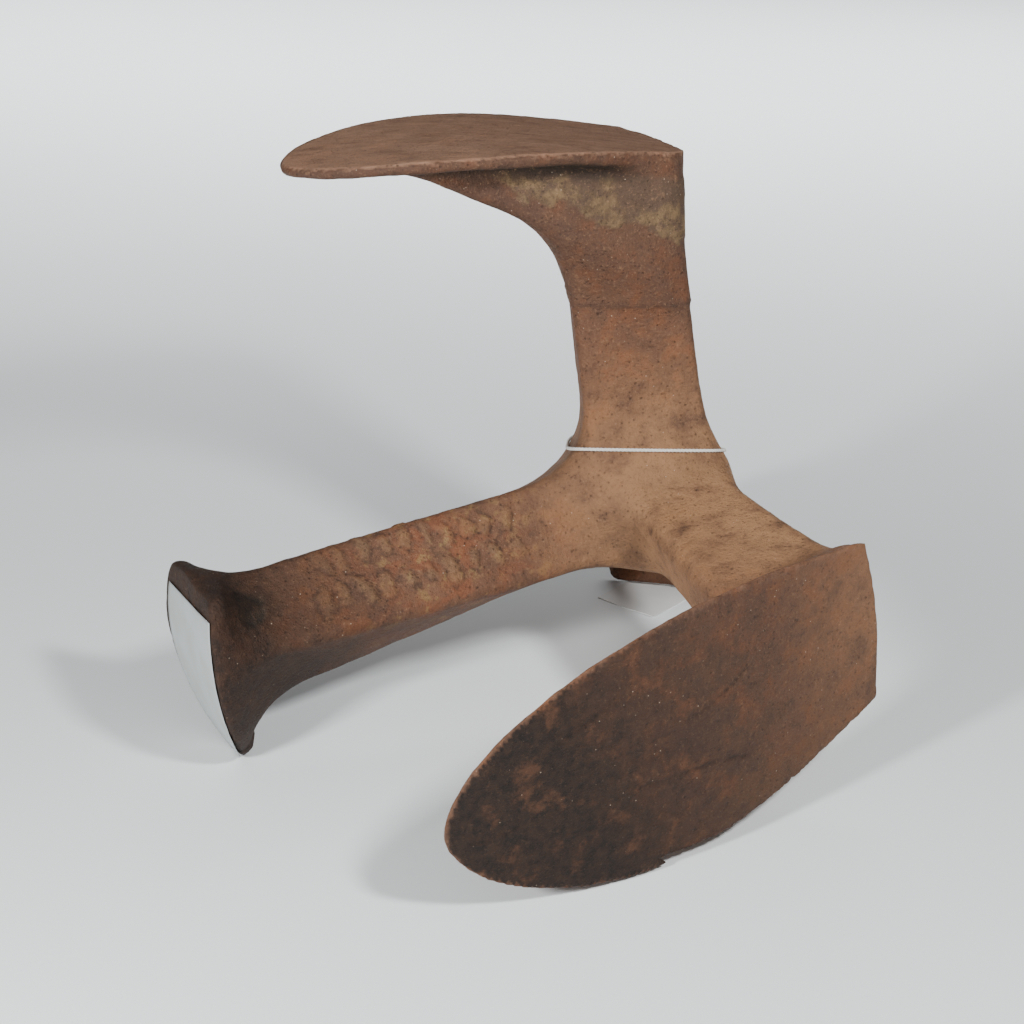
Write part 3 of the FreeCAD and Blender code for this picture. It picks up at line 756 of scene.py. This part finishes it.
# ---- materials
class Nodes:
    """Short ways to add and join shader nodes."""

    def __init__(self, name):
        self.material = bpy.data.materials.new(name)
        self.material.use_nodes = True
        self.tree = self.material.node_tree
        self.shader = self.tree.nodes["Principled BSDF"]
        self.place = self.add("ShaderNodeTexCoord").outputs["Object"]

    def add(self, kind, **settings):
        node = self.tree.nodes.new(kind)
        for key, value in settings.items():
            setattr(node, key, value)
        return node

    def join(self, source, target):
        if hasattr(source, "is_output"):
            self.tree.links.new(source, target)
        else:
            target.default_value = source

    def noise(self, size_mm, detail, roughness=0.55, vector=None):
        """Noise with lumps of about the given size, from 0 to 1."""
        node = self.add("ShaderNodeTexNoise")
        self.join(vector or self.place, node.inputs["Vector"])
        node.inputs["Scale"].default_value = 1 / (size_mm * MM)
        node.inputs["Detail"].default_value = detail
        node.inputs["Roughness"].default_value = roughness
        return node.outputs["Fac"]

    def spots(self, size_mm):
        node = self.add("ShaderNodeTexVoronoi")
        self.join(self.place, node.inputs["Vector"])
        node.inputs["Scale"].default_value = 1 / (size_mm * MM)
        return node.outputs["Distance"]

    def stretched(self, turn_deg, factors):
        node = self.add("ShaderNodeMapping")
        self.join(self.place, node.inputs["Vector"])
        node.inputs["Rotation"].default_value = [math.radians(a) for a in turn_deg]
        node.inputs["Scale"].default_value = factors
        return node.outputs["Vector"]

    def between(self, value, low, high):
        """0 below low, 1 above high."""
        node = self.add("ShaderNodeMapRange", interpolation_type="SMOOTHSTEP")
        self.join(value, node.inputs["Value"])
        node.inputs["From Min"].default_value = low
        node.inputs["From Max"].default_value = high
        return node.outputs["Result"]

    def maths(self, operation, a, b=0.0):
        node = self.add("ShaderNodeMath", operation=operation)
        self.join(a, node.inputs[0])
        self.join(b, node.inputs[1])
        return node.outputs[0]

    def mix(self, amount, a, b):
        node = self.add("ShaderNodeMix", data_type="RGBA")
        self.join(amount, node.inputs[0])
        for colour, socket in ((a, node.inputs[6]), (b, node.inputs[7])):
            self.join(colour if hasattr(colour, "is_output") else (*colour, 1), socket)
        return node.outputs[2]

    def zones(self, name):
        """The three zones that one vertex colour layer holds."""
        split = self.add("ShaderNodeSeparateColor")
        layer = self.add("ShaderNodeVertexColor", layer_name=name)
        self.join(layer.outputs["Color"], split.inputs["Color"])
        return split.outputs["Red"], split.outputs["Green"], split.outputs["Blue"]

    def bump(self, height, distance_mm, strength, after=None):
        node = self.add("ShaderNodeBump")
        node.inputs["Strength"].default_value = strength
        node.inputs["Distance"].default_value = distance_mm * MM
        self.join(height, node.inputs["Height"])
        if after:
            self.join(after, node.inputs["Normal"])
        return node.outputs["Normal"]


RUST_DEPTH = (0.80, 0.745, 0.705)   # scales every rust colour, by red, green and blue


def rusty_iron():
    """Rust in layers: a broad red-brown, then each zone's tint, dark patina, specks and grain."""
    n = Nodes("rusty_iron")
    crust, marks, scar = n.zones("patches")
    wear, hollow, seam = n.zones("edges")
    bright, patina, top_face = n.zones("places")
    ochre, crease, scar_rim = n.zones("streaks")
    orange, large_face, pale_crust = n.zones("tints")
    mark_pit_and_shade, dim, lip_shade = n.zones("shades")
    broad, middle = n.noise(40, 3), n.noise(12, 6, 0.68)
    fine, grain = n.noise(4, 6, 0.7), n.noise(1.1, 4, 0.75)

    def deep(shade):
        return tuple(c * k for c, k in zip(shade, RUST_DEPTH))

    def tint(amount, shade, where=None):
        nonlocal colour
        share = n.maths("MULTIPLY", where, amount) if where is not None else amount
        colour = n.mix(share, colour, shade if hasattr(shade, "is_output") else deep(shade))

    colour = n.mix(n.between(broad, 0.35, 0.65),
                   deep((0.160, 0.082, 0.052)), deep((0.205, 0.104, 0.062)))
    tint(0.70, (0.275, 0.108, 0.048), n.between(middle, 0.46, 0.66))
    tint(0.55, (0.090, 0.056, 0.044), n.between(middle, 0.46, 0.30))
    tint(0.46, (0.060, 0.038, 0.030), dim)
    tint(0.85, (0.520, 0.295, 0.150), n.maths("MULTIPLY", bright, n.between(middle, 0.20, 0.6)))
    streak = n.noise(5, 5, 0.65, n.stretched((0, 0, -22.5), (0.4, 1.0, 1.0)))
    tint(0.62, (0.560, 0.345, 0.235), top_face)
    tint(0.34, (0.700, 0.430, 0.290), n.maths("MULTIPLY", top_face, n.between(streak, 0.50, 0.68)))
    tint(0.34, (0.110, 0.060, 0.042), n.maths("MULTIPLY", top_face, n.between(streak, 0.48, 0.34)))
    red = n.between(n.noise(11, 4, 0.6), 0.50, 0.62)
    tint(0.60, (0.270, 0.092, 0.042), n.maths("MULTIPLY", ochre, red))
    yellow = n.between(n.noise(6, 5, 0.65), 0.55, 0.64)
    tint(0.7, (0.330, 0.230, 0.100), n.maths("MULTIPLY", ochre, yellow))
    tint(0.30, (0.330, 0.220, 0.110), marks)
    # painted shade: dark rings round the raised marks, over the shallow real hollows there
    tint(0.70, (0.060, 0.038, 0.028), mark_pit_and_shade)
    tint(0.60, (0.110, 0.080, 0.056), crust)
    pale = n.mix(n.between(fine, 0.4, 0.6),
                 deep((0.170, 0.112, 0.058)), deep((0.300, 0.205, 0.100)))
    tint(0.62, pale, n.maths("MULTIPLY", pale_crust, n.between(n.noise(5, 6, 0.7), 0.36, 0.56)))
    # painted shade under the small sole's rim
    tint(0.90, (0.022, 0.019, 0.015), lip_shade)
    tint(0.55, (0.240, 0.125, 0.060), n.maths("MULTIPLY", orange, n.between(middle, 0.35, 0.6)))
    tint(0.8, (0.090, 0.080, 0.060), scar)
    tint(0.2, (0.240, 0.180, 0.120), scar_rim)
    tint(0.35, (0.300, 0.180, 0.130), n.maths("MULTIPLY", wear, n.between(fine, 0.45, 0.62)))
    tint(0.75, (0.040, 0.025, 0.019), hollow)
    tint(0.6, (0.050, 0.032, 0.025), crease)
    tint(0.55, (0.070, 0.042, 0.032), seam)
    tint(0.50, (0.380, 0.220, 0.125), n.between(fine, 0.56, 0.76))
    tint(0.60, (0.050, 0.030, 0.023), n.between(fine, 0.44, 0.24))
    tint(0.45, (0.045, 0.030, 0.024), n.between(n.spots(2.4), 0.22, 0.08))
    black = n.mix(n.between(fine, 0.35, 0.65),
                  deep((0.008, 0.0065, 0.006)), deep((0.036, 0.021, 0.015)))
    tint(0.96, black, patina)
    clean = n.maths("SUBTRACT", 1.0, n.maths("MULTIPLY", patina, 0.75))
    tint(0.42, (0.190, 0.085, 0.044),
         n.maths("MULTIPLY", large_face, n.between(middle, 0.54, 0.70)))
    speck = n.maths("MULTIPLY", n.between(n.spots(4.2), 0.075, 0.03), n.between(middle, 0.40, 0.55))
    tint(0.70, (0.700, 0.580, 0.460), speck)
    tint(0.36, (0.500, 0.310, 0.185), n.maths("MULTIPLY", clean, n.between(grain, 0.56, 0.70)))
    tint(0.70, (0.035, 0.022, 0.017), n.between(grain, 0.44, 0.29))
    n.join(colour, n.shader.inputs["Base Color"])
    rough = n.add("ShaderNodeMapRange")
    n.join(fine, rough.inputs["Value"])
    rough.inputs["To Min"].default_value = 0.50
    rough.inputs["To Max"].default_value = 0.80
    n.join(rough.outputs["Result"], n.shader.inputs["Roughness"])
    n.shader.inputs["Specular IOR Level"].default_value = 0.22
    pits = n.bump(n.between(n.spots(2.4), 0.05, 0.30), 0.35, 0.8)
    lumps = n.bump(fine, 1.6, 0.9, pits)
    n.join(n.bump(grain, 0.55, 0.9, lumps), n.shader.inputs["Normal"])
    return n.material


def paper(name, colour, warm):
    n = Nodes(name)
    tone = n.mix(n.between(n.noise(16, 3), 0.3, 0.7), colour, warm)
    fibre = n.noise(0.5, 3, 0.6)
    flecks = n.maths("MULTIPLY", n.between(fibre, 0.6, 0.75), 0.25)
    n.join(n.mix(flecks, tone, warm), n.shader.inputs["Base Color"])
    n.join(n.bump(fibre, 0.03, 0.5, n.bump(n.noise(12, 2), 0.3, 0.4)), n.shader.inputs["Normal"])
    n.shader.inputs["Roughness"].default_value = 0.62
    return n.material


def cotton():
    n = Nodes("cotton_string")
    hair = n.noise(0.35, 3, 0.7)
    n.join(n.mix(n.between(hair, 0.35, 0.7), (0.60, 0.56, 0.50), (0.84, 0.82, 0.78)),
           n.shader.inputs["Base Color"])
    n.join(n.bump(hair, 0.12, 0.7), n.shader.inputs["Normal"])
    n.shader.inputs["Roughness"].default_value = 0.9
    n.shader.inputs["Sheen Weight"].default_value = 0.3
    return n.material


def studio_paper():
    n = Nodes("studio_paper")
    n.join(n.mix(n.between(n.noise(500, 2), 0.3, 0.7), (0.85, 0.87, 0.87), (0.89, 0.91, 0.91)),
           n.shader.inputs["Base Color"])
    n.shader.inputs["Roughness"].default_value = 0.8
    return n.material


def finish_piece(piece, material, slot, *nodes):
    piece.data.materials.clear()
    piece.data.materials.append(material)
    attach(piece, "root")
    if nodes:
        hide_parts(*nodes)


# ---- stage, camera and light
CAMERA_AT = (-0.00234, -0.86931, 0.49232)
CAMERA_DOWN_DEG = 24.846
CAMERA_ROLL_DEG = 0.7257
FOCAL_PER_WIDTH = 2500 / 1024
SENSOR_MM = 36.0
FLOOR_HALF = 6000.0
WORLD_LIGHT = 0.14
KEY_COLOUR = (0.97, 0.99, 1.0)


def add_camera():
    camera = bpy.data.objects.new("camera", bpy.data.cameras.new("camera"))
    camera.data.sensor_width = SENSOR_MM
    camera.data.lens = FOCAL_PER_WIDTH * SENSOR_MM
    camera.data.clip_start = 0.01
    turn = (Matrix.Rotation(math.radians(90 - CAMERA_DOWN_DEG), 4, "X")
            @ Matrix.Rotation(math.radians(CAMERA_ROLL_DEG), 4, "Z"))
    camera.matrix_world = Matrix.Translation(CAMERA_AT) @ turn
    bpy.context.scene.collection.objects.link(camera)
    bpy.context.scene.camera = camera


def add_light(name, at, target, size, power, colour, spread_deg=180):
    lamp = bpy.data.lights.new(name, "AREA")
    lamp.shape = "RECTANGLE"
    lamp.size, lamp.size_y = size
    lamp.energy = power
    lamp.spread = math.radians(spread_deg)
    lamp.color = colour
    piece = bpy.data.objects.new(name, lamp)
    piece.location = at
    piece.rotation_euler = (Vector(target) - Vector(at)).to_track_quat("-Z", "Y").to_euler()
    bpy.context.scene.collection.objects.link(piece)


def add_floor():
    half = FLOOR_HALF
    corners = [(-half, -half, 0), (half, -half, 0), (half, half, 0), (-half, half, 0)]
    floor = mesh_object("floor", corners, [(0, 1, 2, 3)], smooth=False)
    floor.data.materials.append(studio_paper())


def add_world():
    world = bpy.data.worlds.new("studio")
    world.use_nodes = True
    background = world.node_tree.nodes["Background"]
    background.inputs["Color"].default_value = (0.92, 0.96, 1.0, 1)
    background.inputs["Strength"].default_value = WORLD_LIGHT
    bpy.context.scene.world = world


LIT_POINT = (0.0, 0.02, 0.07)
KEY_SIZE = (0.09, 0.09)

add_camera()
add_world()
add_floor()
add_light("right_key", (0.35, -0.46, 0.59), LIT_POINT, KEY_SIZE, 5.5, KEY_COLOUR)
add_light("left_key", (-0.40, -0.54, 0.34), LIT_POINT, KEY_SIZE, 5.9, KEY_COLOUR)
add_light("back_box", (0.05, 1.45, 1.2), (0, 0.95, 0), (1.8, 0.4), 12, (0.96, 0.98, 1.0), 60)

casting = build_casting()
finish_piece(casting, rusty_iron(), "rusty_iron", "last_casting")
label = build_label()
label_white = paper("label_paper", (0.41, 0.43, 0.43), (0.37, 0.38, 0.37))
finish_piece(label, label_white, "label_paper", "heel_label")
(arm_loop, arm_knot, tail, tag_knot), tail_path = build_string()
string_white = cotton()
finish_piece(arm_loop, string_white, "cotton_string", "string_loop")
finish_piece(arm_knot, string_white, "cotton_string", "string_knot")
finish_piece(tail, string_white, "cotton_string", "string_tail")
finish_piece(tag_knot, string_white, "cotton_string")
tag = build_tag()
finish_piece(tag, paper("tag_card", (0.84, 0.84, 0.82), (0.80, 0.79, 0.76)), "tag_card", "hang_tag")
